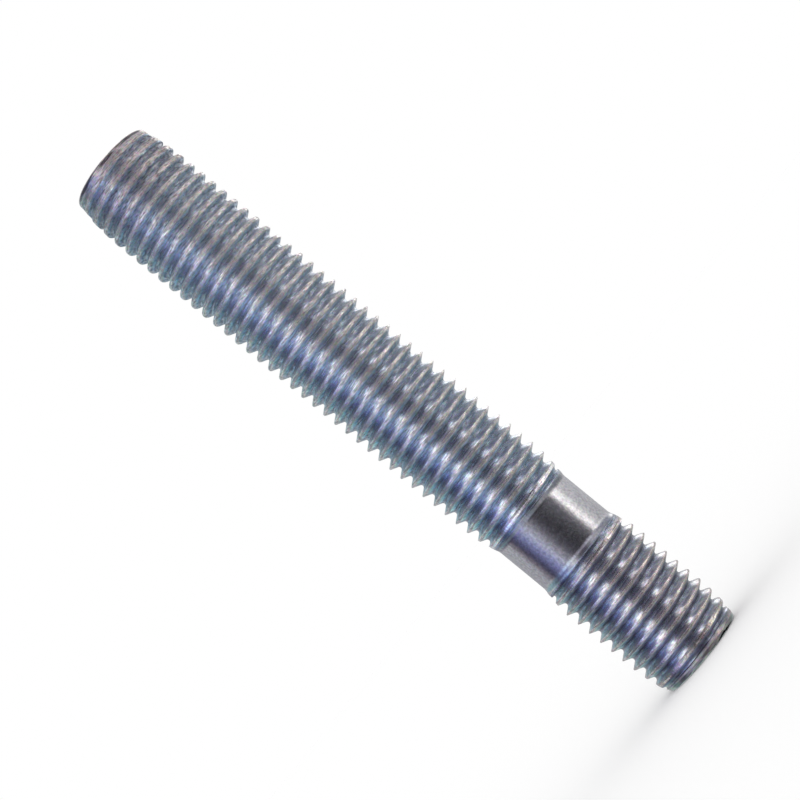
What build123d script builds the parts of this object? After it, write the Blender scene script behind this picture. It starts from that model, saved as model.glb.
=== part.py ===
from build123d import *
import os

os.makedirs("parts", exist_ok=True)

# A double-ended M12 x 1.5 wheel stud, turned and rolled as one piece, in millimetres.
# It stands on its hub end: the origin is the centre of that end face, +Z runs to the nut end.
# The threaded stretches are drawn at their crests' diameter.

# Driving dimensions
major_diameter = 11.8
shank_diameter = 10.5
hub_thread_length = 16.0
shank_length = 8.0
nut_thread_length = 57.0

# Both ends: a flat face, a rolled-over corner, then a long rounded lead up to the full thread
corner_depth = 0.65
corner_length = 0.5
lead_depth = 0.55
lead_length = 4.5

# A thread's crests flare down to the shank over this length, half of it on each side of the shoulder
run_out_length = 3.4

# Radii and heights worked out from the sizes above
major_radius = major_diameter / 2
shank_radius = shank_diameter / 2
corner_radius = major_radius - lead_depth
face_radius = corner_radius - corner_depth
hub_shoulder = hub_thread_length
nut_shoulder = hub_shoulder + shank_length
overall_length = nut_shoulder + nut_thread_length

with BuildPart() as stud:
    with BuildSketch(Plane.XZ):
        with BuildLine():
            Line((0, 0), (0, overall_length))
            barrels = []
            # The two ends are alike: inward points from the end face into the stud
            for face_height, inward in ((0, 1), (overall_length, -1)):
                face_edge = (face_radius, face_height)
                corner = (corner_radius, face_height + inward * corner_length)
                lead_end = (major_radius, face_height + inward * (corner_length + lead_length))
                Line((0, face_height), face_edge)
                TangentArc(face_edge, corner, tangent=(1, 0))
                TangentArc(lead_end, corner, tangent=(0, -inward))
                barrels.append(lead_end)
            # The shank is waisted: it leaves its plain middle in an arc up to each thread
            waist = []
            for shoulder, outward, lead_end in ((hub_shoulder, -1, barrels[0]), (nut_shoulder, 1, barrels[1])):
                shank_edge = (shank_radius, shoulder - outward * run_out_length / 2)
                flare_end = (major_radius, shoulder + outward * run_out_length / 2)
                TangentArc(shank_edge, flare_end, tangent=(0, outward))
                Line(flare_end, lead_end)
                waist.append(shank_edge)
            Line(*waist)
        make_face()
    revolve(axis=Axis.Z)

stud.part.label = "stud"
export_step(stud.part, "parts/stud.step")
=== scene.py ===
import math

import bpy
from mathutils import Matrix, Vector, noise


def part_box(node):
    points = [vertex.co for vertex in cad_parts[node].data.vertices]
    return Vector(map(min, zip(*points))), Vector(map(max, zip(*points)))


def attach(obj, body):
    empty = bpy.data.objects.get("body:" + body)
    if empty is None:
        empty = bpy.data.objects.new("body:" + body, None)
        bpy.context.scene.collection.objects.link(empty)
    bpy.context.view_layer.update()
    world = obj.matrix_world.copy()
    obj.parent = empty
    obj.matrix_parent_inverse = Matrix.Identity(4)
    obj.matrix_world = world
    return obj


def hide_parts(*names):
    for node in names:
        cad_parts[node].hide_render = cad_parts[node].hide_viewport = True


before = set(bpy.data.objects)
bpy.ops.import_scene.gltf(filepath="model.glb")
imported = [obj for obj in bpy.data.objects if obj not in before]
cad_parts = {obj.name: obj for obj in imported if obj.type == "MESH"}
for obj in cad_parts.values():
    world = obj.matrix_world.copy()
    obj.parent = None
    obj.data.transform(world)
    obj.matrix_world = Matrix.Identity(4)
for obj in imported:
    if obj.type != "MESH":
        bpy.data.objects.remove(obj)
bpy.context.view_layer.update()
millimetre = 0.001


def deselectAll():
    if bpy.context.object and bpy.context.object.mode != "OBJECT":
        bpy.ops.object.mode_set(mode="OBJECT")
    bpy.ops.object.select_all(action="DESELECT")


def slopeAt(points, index):
    if index in (0, len(points) - 1):
        return 0.0
    (a, before), (b, here), (c, after) = points[index - 1:index + 2]
    left, right = (here - before) / (b - a), (after - here) / (c - b)
    return 2 * left * right / (left + right) if left * right > 0 else 0.0


def readCurve(points, place):
    # A smooth line through (place, value) pairs, level beyond both ends and wherever it turns
    if place <= points[0][0]:
        return points[0][1]
    for index, ((a, low), (b, high)) in enumerate(zip(points, points[1:])):
        if place < b:
            t = (place - a) / (b - a)
            rise = (slopeAt(points, index) * (1 - t) - slopeAt(points, index + 1) * t) * (b - a) * t * (1 - t)
            return low + (high - low) * t * t * (3 - 2 * t) + rise
    return points[-1][1]


# The camera looks at the stud from the side, rolled so that the nut end is up on the left
cameraView = {
    "lens": 102.5,
    "sensor": 36.0,
    "place": (0.0, -239.6, 27.35),
    "aim": (0.46, 0.0, 41.28),
    "roll": -50.66,
    "nearClip": 1.0,
}


def addCamera():
    place = Vector(cameraView["place"]) * millimetre
    aim = Vector(cameraView["aim"]) * millimetre
    turn = (aim - place).to_track_quat("-Z", "Y").to_matrix()
    turn = turn @ Matrix.Rotation(math.radians(cameraView["roll"]), 3, "Z")
    bpy.ops.object.camera_add(location=place, rotation=turn.to_euler())
    camera = bpy.context.object
    camera.name = "photoCamera"
    camera.data.lens = cameraView["lens"]
    camera.data.sensor_width = cameraView["sensor"]
    camera.data.clip_start = cameraView["nearClip"] * millimetre
    bpy.context.scene.camera = camera


addCamera()
print("camera placed")


# The stud: one helical skin over both threads and the shank, closed by its two end faces
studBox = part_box("stud")
stud = {
    # in millimetres and degrees
    "pitch": 1.5,
    "threadStart": -0.06,
    "length": (studBox[1][2] - studBox[0][2]) / millimetre,
    "rootRounding": 0.30,
    # broader crests towards the nut end: height and rounding
    "crestRounding": ((42, 0.08), (72, 0.17)),
    # grooves less deep than this have smaller roundings
    "roundingDepth": 0.5,
    # and below this depth their steps spread out evenly
    "fadingDepth": 0.12,
    "flankAngle": 60,
    # steps along a flank and round a crest, as shares of the flank and of its angle
    "flankSteps": (0.33, 0.67, 1.0),
    "crestSteps": (0.6, 0.25),
    "faceRadius": 4.7,
    "cornerLength": 0.5,
    "stepsPerTurn": 96,
    "segmentsPerPitch": 16,
    "smoothAngle": 50,
    # flats worn on the crests, in patches
    "wearDepth": 0.022,
    "wearNarrowness": 6,
    "wearAround": 5,
    "wearAlong": 0.8,
    "fineWear": 3.1,
    "fineWearShare": 0.6,
    # the nut end is rolled over further on its -X side: from this height, fully at this one, by this depth
    "lean": (76.0, 80.0, 0.16),
    # cuts across the skin at each end, from the face inwards
    "endCuts": (0.0, 0.03, 0.1, 0.2, 0.34, 0.5),
    "cutTolerance": 0.0001,
    "weldDistance": 0.001,
    # height above the hub end and the radius of the crests there
    "crestLine": (
        (0.5, 5.35), (1.5, 5.55), (2.7, 5.72), (4.0, 5.84), (5.5, 5.90), (13.6, 5.90),
        (14.3, 5.84), (15.0, 5.68), (15.5, 5.58), (15.9, 5.52), (16.1, 5.48), (16.28, 5.44),
        (16.48, 5.375), (16.68, 5.31), (16.88, 5.27), (17.18, 5.25), (22.85, 5.25), (23.1, 5.27),
        (23.3, 5.325), (23.55, 5.39), (23.9, 5.48), (24.3, 5.54), (24.8, 5.61), (25.5, 5.76), (26.4, 5.83),
        (28.5, 5.90), (73.5, 5.90), (75.6, 5.86), (77.0, 5.80), (78.4, 5.70), (79.4, 5.50), (80.5, 5.35),
    ),
    # and the radius of the roots; it meets the crests where the grooves run out
    "rootLine": (
        (0.7, 5.10), (1.5, 5.08), (2.4, 5.02), (3.2, 4.98), (14.4, 4.98), (15.2, 5.02),
        (15.7, 5.12), (15.9, 5.28), (16.1, 5.40), (16.4, 5.42), (22.85, 5.30), (23.3, 5.38),
        (23.55, 5.33), (23.75, 5.24), (23.95, 5.14), (24.3, 5.02), (24.7, 4.98), (40.0, 4.98),
        (54.0, 5.04), (66.0, 5.16), (74.0, 5.20), (77.0, 5.30), (78.5, 5.35), (80.0, 5.30),
    ),
}


def crestAt(height, angle):
    fromEnd = min(height, stud["length"] - height)
    start, full, depth = stud["lean"]
    lean = depth * max(-math.cos(angle), 0) * min(max((height - start) / (full - start), 0), 1)
    corner = stud["cornerLength"]
    if fromEnd < corner:
        drop = stud["crestLine"][0][1] - stud["faceRadius"]
        share = 1 - max(fromEnd, 0) / corner
        return stud["faceRadius"] + drop * math.sqrt(1 - share ** 2) - lean
    return readCurve(stud["crestLine"], height) - lean


def grooveSection(depth, crestRounding):
    # Half a groove from its root's centre to the crest's: places along the stud and heights over the root
    half = stud["pitch"] / 2
    tilt = math.radians(stud["flankAngle"])
    size = min(depth / stud["roundingDepth"], 1.0)
    root = stud["rootRounding"] * size
    crest = crestRounding * size
    rows = [(root * math.sin(t), root * (1 - math.cos(t))) for t in (0, tilt / 2, tilt)]
    rise = max(depth - (root + crest) * (1 - math.cos(tilt)), 0)
    start, foot = rows[-1]
    rows += [(start + rise * share / math.tan(tilt), foot + rise * share) for share in stud["flankSteps"]]
    start, foot = rows[-1]
    for share in stud["crestSteps"]:
        t = tilt * share
        rows.append((start + crest * (math.sin(tilt) - math.sin(t)),
                     foot + crest * (math.cos(t) - math.cos(tilt))))
    rows.append((half, depth))
    keep = min(depth / stud["fadingDepth"], 1.0)
    section = []
    for step, (place, height) in enumerate(rows):
        even = half * step / (len(rows) - 1)
        section.append((even + (min(place, half) - even) * keep, height))
    return section


def shapeSkin(mesh):
    pitch = stud["pitch"]
    half = stud["segmentsPerPitch"] // 2
    for vertex in mesh.vertices:
        x, y, z = (value / millimetre for value in vertex.co)
        angle = math.atan2(y, x) % (2 * math.pi)
        phase = ((z - stud["threadStart"]) / pitch - angle / (2 * math.pi)) % 1.0
        falling = phase > 0.5
        step = round(2 * half * (1 - phase if falling else phase))
        crest = crestAt(z, angle)
        root = min(readCurve(stud["rootLine"], z), crest)
        place, rise = grooveSection(crest - root, readCurve(stud["crestRounding"], z))[step]
        shift = place - step / half * pitch / 2
        height = z - shift if falling else z + shift
        radius = min(root + rise, crestAt(height, angle))
        around = stud["wearAround"]
        seed = Vector((math.cos(angle) * around, math.sin(angle) * around, height * stud["wearAlong"]))
        wear = noise.noise(seed) + stud["fineWearShare"] * noise.noise(seed * stud["fineWear"])
        worn = stud["wearDepth"] * max(wear, 0) * (step / half) ** stud["wearNarrowness"]
        radius -= worn * min((crest - root) / stud["roundingDepth"], 1)
        vertex.co = Vector((radius * math.cos(angle), radius * math.sin(angle), height)) * millimetre


def makeSkin():
    # one upright edge, a pitch long, is wound up along the stud
    pitch = stud["pitch"] * millimetre
    outside = max(radius for height, radius in stud["crestLine"]) * millimetre
    below = stud["threadStart"] * millimetre - pitch
    deselectAll()
    bpy.ops.mesh.primitive_plane_add(size=pitch, location=(outside - pitch / 2, 0, below),
                                     rotation=(math.pi / 2, 0, 0))
    skin = bpy.context.object
    skin.name = "studSkin"
    bpy.ops.object.transform_apply(location=True, rotation=True, scale=True)
    bpy.ops.object.mode_set(mode="EDIT")
    bpy.ops.mesh.select_all(action="DESELECT")
    bpy.ops.object.mode_set(mode="OBJECT")
    for vertex in skin.data.vertices:
        vertex.select = vertex.co.x < outside - pitch / 2
    bpy.ops.object.mode_set(mode="EDIT")
    bpy.ops.mesh.delete(type="VERT")
    bpy.ops.mesh.select_all(action="SELECT")
    bpy.ops.mesh.subdivide(number_cuts=stud["segmentsPerPitch"] - 1)
    bpy.ops.object.mode_set(mode="OBJECT")
    screw = skin.modifiers.new("thread", "SCREW")
    screw.axis = "Z"
    screw.screw_offset = pitch
    screw.iterations = round(stud["length"] / stud["pitch"]) + 2
    screw.steps = screw.render_steps = stud["stepsPerTurn"]
    bpy.ops.object.modifier_apply(modifier=screw.name)
    bpy.ops.object.mode_set(mode="EDIT")
    bpy.ops.mesh.select_all(action="SELECT")
    bpy.ops.mesh.remove_doubles(threshold=stud["weldDistance"] * millimetre)
    bpy.ops.object.mode_set(mode="OBJECT")
    print("skin wound", len(skin.data.vertices), "vertices")
    return skin


def closeEnds(skin):
    bpy.ops.object.mode_set(mode="EDIT")
    for cut in stud["endCuts"]:
        for face, outward in ((0.0, -1), (stud["length"], 1)):
            bpy.ops.mesh.select_all(action="SELECT")
            bpy.ops.mesh.bisect(plane_co=(0, 0, (face - outward * cut) * millimetre),
                                plane_no=(0, 0, outward), use_fill=cut == 0, clear_outer=cut == 0,
                                threshold=stud["cutTolerance"] * millimetre)
    bpy.ops.mesh.select_all(action="SELECT")
    bpy.ops.mesh.normals_make_consistent(inside=False)
    bpy.ops.object.mode_set(mode="OBJECT")
    for vertex in skin.data.vertices:
        height = vertex.co.z / millimetre
        fromEnd = min(height, stud["length"] - height)
        if fromEnd < stud["cornerLength"] - stud["cutTolerance"]:
            radius = math.hypot(vertex.co.x, vertex.co.y)
            wanted = min(crestAt(height, math.atan2(vertex.co.y, vertex.co.x)) * millimetre, radius)
            vertex.co.x *= wanted / radius
            vertex.co.y *= wanted / radius


skin = makeSkin()
shapeSkin(skin.data)
print("threads shaped")
closeEnds(skin)
deselectAll()
skin.select_set(True)
bpy.context.view_layer.objects.active = skin
bpy.ops.object.shade_smooth_by_angle(angle=math.radians(stud["smoothAngle"]))
print("stud closed", sum(len(face.vertices) - 2 for face in skin.data.polygons), "triangles")


zinc = {
    # colour by place in the thread: 0 and 1 are the root, 0.5 is the crest, and the flank facing the hub end
    # lies between 0 and 0.5. The crests are lighter from wear; the darker roots are painted shade in the
    # grooves
    "threadColours": (
        (0.00, (0.22, 0.262, 0.33)),
        (0.08, (0.25, 0.302, 0.37)),
        (0.20, (0.38, 0.515, 0.64)),
        (0.29, (0.56, 0.61, 0.65)),
        (0.34, (0.80, 0.765, 0.73)),
        (0.51, (0.80, 0.765, 0.73)),
        (0.57, (0.66, 0.65, 0.66)),
        (0.68, (0.55, 0.59, 0.62)),
        (0.84, (0.35, 0.405, 0.49)),
        (1.00, (0.22, 0.262, 0.33)),
    ),
    "crestMiddle": 0.44,
    "crestFade": (0.13, 0.08),
    # a look starts at the first height of a pair and is full at the other, in millimetres from the hub end
    "spreadHeights": (30, 70),
    # towards the nut end the crests' colour spreads, and more so past this place in the thread
    "spread": 0.05,
    "spreadFrom": 0.36,
    "spreadMore": 0.24,
    # and the roots get lighter towards the nut end, by their distance from the crest: painted light, standing
    # in for brighter reflections there
    "nutRootHeights": (20, 66),
    "nutRootFade": (0.26, 0.40),
    "nutRootColour": (0.40, 0.445, 0.51),
    "nutEndHeights": (72.5, 76.5),
    "nutEndShade": (0.91, 0.85, 0.84),
    # the first full crest above the shank is lighter and smoother: its lighter colour is a painted highlight
    "collarHeights": ((23.5, 23.8), (25.1, 24.8)),
    "collarColour": (0.96, 0.93, 0.93),
    "collarRoughness": 0.2,
    "hubHeights": (17.0, 15.5),
    "hubSpread": 0.035,
    "hubShade": (0.94, 0.88, 0.86),
    # on the hub thread the flank facing the hub end is darkened: painted shade
    "hubFlankMiddle": 0.18,
    "hubFlankFade": (0.17, 0.10),
    "hubFlankShade": (0.76, 0.63, 0.67),
    # plain rings beside both ends
    "landHeights": ((1.0, 0.6), (80.0, 80.4)),
    "landColour": (0.74, 0.66, 0.64),
    "landRoughness": 0.45,
    # the rolled-over corners are darker, and the end faces inside them are not
    "rimHeights": ((0.62, 0.45), (80.34, 80.52)),
    "rimRadius": (4.66, 4.74),
    "rimColour": (0.36, 0.32, 0.31),
    "rimRoughness": 0.16,
    "shankHeights": ((16.1, 16.7), (23.7, 23.2)),
    "shankColour": (0.52, 0.52, 0.54),
    "shankRoughness": 0.2,
    # height from the hub end and roughness there
    "flankRoughness": ((0, 0.20), (30, 0.24), (48, 0.27), (60, 0.34), (75, 0.48)),
    "crestRoughness": ((0, 0.23), (16, 0.24), (30, 0.33), (48, 0.38), (60, 0.42), (75, 0.50)),
    # specks are lighter or darker, and the lighter they are the smoother
    "speckle": ((0.3, (0.60, 0.60, 0.62)), (0.7, (1.24, 1.24, 1.24))),
    "sheen": 2.4,
    # patterns are counted per metre
    "streakScale": (1300, 1300, 6500),
    "streakDetail": 2,
    "grainScale": 3200,
    "grainDetail": 3,
    "grainContrast": 0.6,
    "tintScale": 3600,
    "tintDetail": 1,
    "threadTint": 0.34,
    "shankTint": 0.14,
    # rolled flanks gleam as if they were rounder than they are
    "roundHeights": ((0.6, 1.2), (80.4, 79.8)),
    "flankRoundness": 0.72,
    "crestRoundness": 1.3,
    "bumpHeight": 0.03,
    "threadBump": 0.35,
    "shankBump": 0.30,
}


class NodeBench:
    # Short ways to add and join shader nodes
    def __init__(self, tree):
        self.nodes = tree.nodes
        self.links = tree.links

    def add(self, kind):
        return self.nodes.new("ShaderNode" + kind)

    def put(self, socket, value):
        if hasattr(value, "is_output"):
            self.links.new(value, socket)
        elif socket.type == "RGBA":
            socket.default_value = (*value, 1)
        else:
            socket.default_value = value

    def math(self, operation, *values):
        node = self.add("Math")
        node.operation = operation
        for socket, value in zip(node.inputs, values):
            self.put(socket, value)
        return node.outputs[0]

    def vectorMath(self, operation, *values):
        node = self.add("VectorMath")
        node.operation = operation
        for socket, value in zip(node.inputs, values):
            self.put(socket, value)
        return node.outputs["Value" if operation == "LENGTH" else "Vector"]

    def split(self, vector):
        node = self.add("SeparateXYZ")
        self.put(node.inputs[0], vector)
        return node.outputs

    def ramp(self, value, stops):
        node = self.add("ValToRGB")
        elements = node.color_ramp.elements
        while len(elements) < len(stops):
            elements.new(0.5)
        for element, (place, colour) in zip(elements, stops):
            element.position = place
            element.color = (*colour, 1)
        self.put(node.inputs["Fac"], value)
        return node.outputs["Color"]

    def along(self, height, rows):
        length = stud["length"]
        stops = [(place / length, (value,) * 3) for place, value in rows]
        return self.ramp(self.math("DIVIDE", height, length), stops)

    def noise(self, place, scale, detail):
        node = self.add("TexNoise")
        self.put(node.inputs["Vector"], place)
        node.inputs["Scale"].default_value = scale
        node.inputs["Detail"].default_value = detail
        return node

    def away(self, value, middle):
        return self.math("ABSOLUTE", self.math("SUBTRACT", value, middle))

    def between(self, value, start, full):
        # 0 at the start and 1 where it is full, which may be the lesser value
        node = self.add("MapRange")
        node.interpolation_type = "SMOOTHSTEP"
        self.put(node.inputs["Value"], value)
        node.inputs["From Min"].default_value = start
        node.inputs["From Max"].default_value = full
        return node.outputs["Result"]

    def inBoth(self, value, ranges):
        return self.math("MULTIPLY", *(self.between(value, *pair) for pair in ranges))

    def inEither(self, value, ranges):
        return self.math("ADD", *(self.between(value, *pair) for pair in ranges))

    def mixNumber(self, share, first, second):
        node = self.add("Mix")
        for socket, value in zip(node.inputs[0:1] + node.inputs[2:4], (share, first, second)):
            self.put(socket, value)
        return node.outputs[0]

    def mixColour(self, share, first, second, blend="MIX"):
        node = self.add("Mix")
        node.data_type = "RGBA"
        node.blend_type = blend
        for socket, value in zip(node.inputs[0:1] + node.inputs[6:8], (share, first, second)):
            self.put(socket, value)
        return node.outputs[2]


def findZones(bench, height, radius, phase):
    # Where each look is, from 0 to 1, and the place in the thread that the colours go by
    onHub = bench.between(height, *zinc["hubHeights"])
    past = bench.math("MAXIMUM", bench.math("SUBTRACT", phase, zinc["spreadFrom"]), 0.0)
    spread = bench.math("MULTIPLY_ADD", past, zinc["spreadMore"], zinc["spread"])
    spread = bench.math("MULTIPLY", spread, bench.between(height, *zinc["spreadHeights"]))
    tone = bench.math("SUBTRACT", phase, spread)
    tone = bench.math("SUBTRACT", tone, bench.math("MULTIPLY", onHub, zinc["hubSpread"]))
    onCrest = bench.between(bench.away(tone, zinc["crestMiddle"]), *zinc["crestFade"])
    # the roots that are painted lighter towards the nut end, as painted light
    onRoot = bench.between(bench.away(phase, 0.5), *zinc["nutRootFade"])
    onFlank = bench.between(bench.away(phase, zinc["hubFlankMiddle"]), *zinc["hubFlankFade"])
    outside = bench.between(bench.math("DIVIDE", radius, millimetre), *zinc["rimRadius"])
    return {
        "tone": tone,
        "crest": onCrest,
        "collar": bench.math("MULTIPLY", bench.inBoth(height, zinc["collarHeights"]), onCrest),
        "nutRoot": bench.math("MULTIPLY", bench.between(height, *zinc["nutRootHeights"]), onRoot),
        "nutEnd": bench.between(height, *zinc["nutEndHeights"]),
        "hub": onHub,
        "hubFlank": bench.math("MULTIPLY", onHub, onFlank),
        "land": bench.inEither(height, zinc["landHeights"]),
        "rim": bench.math("MULTIPLY", bench.inEither(height, zinc["rimHeights"]), outside),
        "shank": bench.inBoth(height, zinc["shankHeights"]),
    }


def findShades(bench, place, zones):
    # Streaks round the threads, and an even grain on the shank
    streaks = bench.vectorMath("MULTIPLY", place, zinc["streakScale"])
    streaks = bench.noise(streaks, 1, zinc["streakDetail"]).outputs[0]
    grain = bench.noise(place, zinc["grainScale"], zinc["grainDetail"]).outputs[0]
    contrast = zinc["grainContrast"]
    grain = bench.math("MULTIPLY_ADD", grain, contrast, (1 - contrast) / 2)
    return bench.mixNumber(zones["shank"], streaks, grain)


def zincColour(bench, place, zones, shades):
    # lighter crests from wear, darker roots as painted shade in the grooves
    colour = bench.ramp(zones["tone"], zinc["threadColours"])
    # painted highlight on the collar, and painted light on the nut-end roots
    for name in ("collar", "nutRoot"):
        colour = bench.mixColour(zones[name], colour, zinc[name + "Colour"])
    # the darkening of the hub-facing flank on the hub thread is painted shade
    for name in ("hub", "hubFlank", "nutEnd"):
        colour = bench.mixColour(zones[name], colour, zinc[name + "Shade"], "MULTIPLY")
    for name in ("land", "rim", "shank"):
        colour = bench.mixColour(zones[name], colour, zinc[name + "Colour"])
    colour = bench.mixColour(1.0, colour, bench.ramp(shades, zinc["speckle"]), "MULTIPLY")
    # faint hues, as likely lighter as darker
    hues = bench.noise(place, zinc["tintScale"], zinc["tintDetail"]).outputs["Color"]
    strength = bench.mixNumber(zones["shank"], zinc["threadTint"], zinc["shankTint"])
    tint = bench.mixColour(strength, (0.5, 0.5, 0.5), hues)
    return bench.mixColour(1.0, colour, bench.mixColour(1.0, tint, tint, "ADD"), "MULTIPLY")


def zincRoughness(bench, height, zones, shades):
    rough = bench.mixNumber(zones["crest"], bench.along(height, zinc["flankRoughness"]),
                            bench.along(height, zinc["crestRoughness"]))
    duller = bench.math("MULTIPLY_ADD", shades, -zinc["sheen"], 1 + zinc["sheen"] / 2)
    rough = bench.math("MULTIPLY", rough, duller)
    for name in ("collar", "land", "rim", "shank"):
        rough = bench.mixNumber(zones[name], rough, zinc[name + "Roughness"])
    return rough


def zincNormal(bench, height, radius, zones, shades):
    rounder = bench.add("Bump")
    rounder.invert = True
    onThread = bench.math("MULTIPLY", bench.inBoth(height, zinc["roundHeights"]),
                          bench.math("SUBTRACT", 1.0, zones["shank"]))
    bench.put(rounder.inputs["Strength"], onThread)
    bench.put(rounder.inputs["Distance"],
              bench.mixNumber(zones["crest"], zinc["flankRoundness"], zinc["crestRoundness"]))
    bench.put(rounder.inputs["Height"], radius)
    bump = bench.add("Bump")
    bench.put(bump.inputs["Strength"], bench.mixNumber(zones["shank"], zinc["threadBump"], zinc["shankBump"]))
    bump.inputs["Distance"].default_value = zinc["bumpHeight"] * millimetre
    bench.put(bump.inputs["Height"], shades)
    bench.put(bump.inputs["Normal"], rounder.outputs[0])
    return bump.outputs[0]


def makeZinc():
    material = bpy.data.materials.new("zincPlate")
    material.use_nodes = True
    bench = NodeBench(material.node_tree)
    shader = bench.nodes["Principled BSDF"]
    shader.inputs["Metallic"].default_value = 1.0
    place = bench.add("TexCoord").outputs["Object"]
    x, y, z = bench.split(place)
    height = bench.math("DIVIDE", z, millimetre)
    radius = bench.vectorMath("LENGTH", bench.vectorMath("MULTIPLY", place, (1, 1, 0)))
    turn = bench.math("DIVIDE", bench.math("ARCTAN2", y, x), 2 * math.pi)
    wound = bench.math("DIVIDE", bench.math("SUBTRACT", height, stud["threadStart"]), stud["pitch"])
    phase = bench.math("FRACT", bench.math("SUBTRACT", wound, turn))
    zones = findZones(bench, height, radius, phase)
    shades = findShades(bench, place, zones)
    bench.put(shader.inputs["Base Color"], zincColour(bench, place, zones, shades))
    bench.put(shader.inputs["Roughness"], zincRoughness(bench, height, zones, shades))
    bench.put(shader.inputs["Normal"], zincNormal(bench, height, radius, zones, shades))
    return material


skin.data.materials.append(makeZinc())
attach(skin, "root")
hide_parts("stud")
print("stud dressed")


studio = {
    "strength": 1.2,
    "floorRadius": 3,
    "floorSides": 96,
    "floorColour": (1.0, 1.0, 1.0),
    "floorRoughness": 0.9,
}

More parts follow.
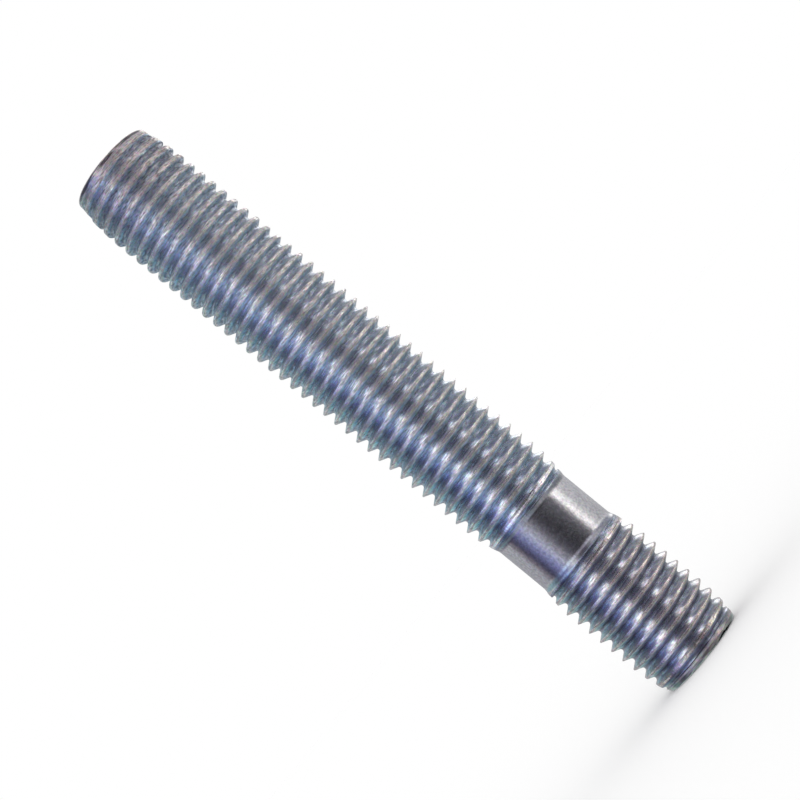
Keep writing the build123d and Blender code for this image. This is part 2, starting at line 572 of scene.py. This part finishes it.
# What the metal reflects, in bands from straight below to straight above. A band takes over from the one
# under it between two sines of the height it is seen at, and its colours go by the degrees round the stud,
# from the camera's side towards +X.
studioBands = {
    "bottom": (None, (
        (-180, (0.52, 0.66, 0.64)), (-122, (0.25, 0.42, 0.46)), (-97, (0.34, 0.36, 0.40)),
        (-76, (0.22, 0.27, 0.36)), (-52, (0.42, 0.50, 0.70)), (-24, (0.33, 0.38, 0.48)),
        (13, (0.19, 0.20, 0.23)), (52, (0.37, 0.38, 0.41)), (97, (0.37, 0.39, 0.42)),
        (132, (0.32, 0.34, 0.36)), (180, (0.52, 0.66, 0.64)),
    )),
    "below": ((-0.62, -0.48), (
        (-180, (0.52, 0.66, 0.64)), (-147, (0.54, 0.74, 0.70)), (-122, (0.25, 0.42, 0.46)),
        (-97, (0.18, 0.22, 0.26)), (-76, (0.15, 0.18, 0.25)), (-52, (0.52, 0.58, 0.74)),
        (-24, (0.50, 0.54, 0.64)), (13, (0.19, 0.20, 0.23)), (42, (0.46, 0.46, 0.48)),
        (62, (0.37, 0.38, 0.40)), (97, (0.26, 0.28, 0.31)), (132, (0.24, 0.26, 0.28)),
        (180, (0.52, 0.66, 0.64)),
    )),
    "low": ((-0.30, -0.12), (
        (-180, (0.40, 0.40, 0.42)), (-146, (0.36, 0.36, 0.40)), (-112, (0.22, 0.21, 0.28)),
        (-92, (0.10, 0.09, 0.14)), (-80, (0.03, 0.03, 0.07)), (-68, (0.13, 0.12, 0.32)),
        (-54, (0.34, 0.32, 0.76)), (-42, (0.50, 0.50, 0.80)), (-30, (0.50, 0.48, 0.54)),
        (-12, (0.08, 0.08, 0.10)), (8, (0.01, 0.01, 0.01)), (34, (0.02, 0.02, 0.02)),
        (50, (0.18, 0.17, 0.19)), (66, (0.92, 0.89, 0.87)), (76, (0.90, 0.87, 0.85)),
        (90, (0.32, 0.34, 0.34)), (130, (0.30, 0.32, 0.34)), (150, (0.50, 0.50, 0.52)),
        (180, (0.40, 0.40, 0.42)),
    )),
    "level": ((-0.065, -0.035), (
        (-180, (0.40, 0.40, 0.42)), (-150, (0.48, 0.48, 0.51)), (-120, (0.66, 0.66, 0.68)),
        (-106, (0.70, 0.70, 0.72)), (-96, (0.42, 0.35, 0.38)), (-84, (0.08, 0.07, 0.12)),
        (-72, (0.14, 0.14, 0.26)), (-56, (0.26, 0.29, 0.46)), (-40, (0.70, 0.71, 0.82)),
        (-26, (0.18, 0.17, 0.21)), (-8, (0.02, 0.01, 0.02)), (6, (0.0, 0.0, 0.0)), (34, (0.0, 0.0, 0.0)),
        (50, (0.03, 0.03, 0.04)), (60, (0.22, 0.21, 0.22)), (68, (2.45, 2.36, 2.28)),
        (79, (2.10, 2.02, 1.97)), (92, (1.18, 1.15, 1.14)), (110, (0.92, 0.91, 0.92)),
        (150, (0.62, 0.62, 0.64)), (180, (0.40, 0.40, 0.42)),
    )),
    "raised": ((0.02, 0.09), (
        (-180, (0.60, 0.60, 0.60)), (-168, (0.50, 0.58, 0.60)), (-150, (0.36, 0.50, 0.54)),
        (-112, (0.33, 0.52, 0.58)), (-92, (0.17, 0.27, 0.35)), (-80, (0.10, 0.12, 0.22)),
        (-70, (0.28, 0.35, 0.64)), (-56, (0.66, 0.84, 1.35)), (-40, (0.90, 1.08, 1.32)),
        (-24, (1.15, 1.18, 1.28)), (-9, (0.50, 0.49, 0.57)), (16, (0.33, 0.31, 0.39)),
        (34, (0.72, 0.72, 0.80)), (46, (0.78, 0.78, 0.86)), (60, (0.40, 0.41, 0.47)),
        (74, (0.38, 0.40, 0.46)), (98, (0.30, 0.33, 0.39)), (130, (0.42, 0.43, 0.49)),
        (142, (1.20, 1.20, 1.20)), (148, (1.70, 1.70, 1.70)), (158, (1.70, 1.70, 1.70)),
        (168, (0.95, 0.95, 0.95)), (180, (0.60, 0.60, 0.60)),
    )),
    "lifted": ((0.24, 0.34), (
        (-180, (1.00, 1.00, 1.00)), (-160, (0.50, 0.54, 0.58)), (-130, (0.22, 0.28, 0.33)),
        (-100, (0.13, 0.16, 0.21)), (-80, (0.10, 0.11, 0.20)), (-64, (0.18, 0.22, 0.50)),
        (-48, (0.32, 0.40, 0.68)), (-34, (0.66, 0.68, 0.80)), (-22, (0.72, 0.73, 0.80)),
        (-8, (0.12, 0.11, 0.14)), (20, (0.07, 0.06, 0.09)), (34, (0.30, 0.30, 0.34)),
        (46, (0.46, 0.46, 0.50)), (60, (0.50, 0.48, 0.50)), (72, (0.58, 0.56, 0.58)),
        (92, (0.40, 0.40, 0.44)), (134, (0.32, 0.34, 0.38)), (148, (0.50, 0.50, 0.54)),
        (160, (1.40, 1.40, 1.40)), (180, (1.80, 1.80, 1.80)),
    )),
    "above": ((0.44, 0.70), (
        (-180, (0.60, 0.60, 0.64)), (-140, (0.14, 0.17, 0.22)), (-108, (0.09, 0.11, 0.17)),
        (-92, (0.06, 0.06, 0.10)), (-80, (0.09, 0.09, 0.22)), (-62, (0.18, 0.21, 0.46)),
        (-52, (0.90, 0.95, 1.20)), (-42, (1.65, 1.70, 1.80)), (-27, (1.75, 1.75, 1.85)),
        (-17, (0.12, 0.12, 0.16)), (32, (0.04, 0.04, 0.07)), (42, (1.35, 1.35, 1.45)),
        (53, (1.35, 1.35, 1.45)), (62, (0.18, 0.20, 0.30)), (90, (0.12, 0.13, 0.20)),
        (122, (0.20, 0.21, 0.28)), (140, (0.90, 0.90, 0.90)), (180, (1.30, 1.30, 1.30)),
    )),
    "top": ((0.71, 0.88), (
        (-180, (0.60, 0.60, 0.64)), (-120, (0.12, 0.15, 0.23)), (-96, (0.11, 0.12, 0.18)),
        (-80, (0.24, 0.28, 0.44)), (-56, (0.50, 0.58, 0.85)), (-44, (0.90, 0.87, 0.95)),
        (-30, (0.90, 0.87, 0.95)), (-18, (0.24, 0.23, 0.30)), (34, (0.22, 0.20, 0.28)),
        (46, (0.62, 0.60, 0.66)), (58, (0.62, 0.60, 0.66)), (70, (0.18, 0.19, 0.26)),
        (120, (0.16, 0.18, 0.24)), (150, (0.90, 0.90, 0.90)), (180, (1.30, 1.30, 1.30)),
    )),
}


def addFloor():
    deselectAll()
    bpy.ops.mesh.primitive_circle_add(vertices=studio["floorSides"], radius=studio["floorRadius"],
                                      fill_type="NGON")
    floor = bpy.context.object
    floor.name = "floor"
    material = bpy.data.materials.new("paleFloor")
    material.use_nodes = True
    bench = NodeBench(material.node_tree)
    shader = bench.nodes["Principled BSDF"]
    bench.put(shader.inputs["Base Color"], studio["floorColour"])
    shader.inputs["Roughness"].default_value = studio["floorRoughness"]
    shader.inputs["Specular IOR Level"].default_value = 0
    path = bench.add("LightPath")
    mix = bench.add("MixShader")
    bench.put(mix.inputs[0], path.outputs["Is Glossy Ray"])
    bench.put(mix.inputs[1], shader.outputs[0])
    bench.put(mix.inputs[2], bench.add("BsdfTransparent").outputs[0])
    bench.put(bench.nodes["Material Output"].inputs["Surface"], mix.outputs[0])
    floor.data.materials.append(material)


def addWorld():
    world = bpy.data.worlds.new("studio")
    bpy.context.scene.world = world
    world.use_nodes = True
    world.node_tree.nodes.clear()
    bench = NodeBench(world.node_tree)
    x, y, z = bench.split(bench.add("TexCoord").outputs["Generated"])
    turn = bench.math("ARCTAN2", x, bench.math("MULTIPLY", y, -1.0))
    share = bench.math("ADD", bench.math("DIVIDE", turn, 2 * math.pi), 0.5)
    for takeOver, rows in studioBands.values():
        seen = bench.ramp(share, [((degrees + 180) / 360, tone) for degrees, tone in rows])
        colour = bench.mixColour(bench.between(z, *takeOver), colour, seen) if takeOver else seen
    reflected = bench.add("Background")
    bench.put(reflected.inputs["Color"], colour)
    reflected.inputs["Strength"].default_value = studio["strength"]
    plain = bench.add("Background")
    plain.inputs["Color"].default_value = (1, 1, 1, 1)
    plain.inputs["Strength"].default_value = 1.0
    path = bench.add("LightPath")
    mix = bench.add("MixShader")
    bench.put(mix.inputs[0], path.outputs["Is Glossy Ray"])
    bench.put(mix.inputs[1], plain.outputs[0])
    bench.put(mix.inputs[2], reflected.outputs[0])
    bench.put(bench.add("OutputWorld").inputs["Surface"], mix.outputs[0])


addFloor()
addWorld()
bpy.context.scene.view_settings.view_transform = "Standard"
print("studio set")
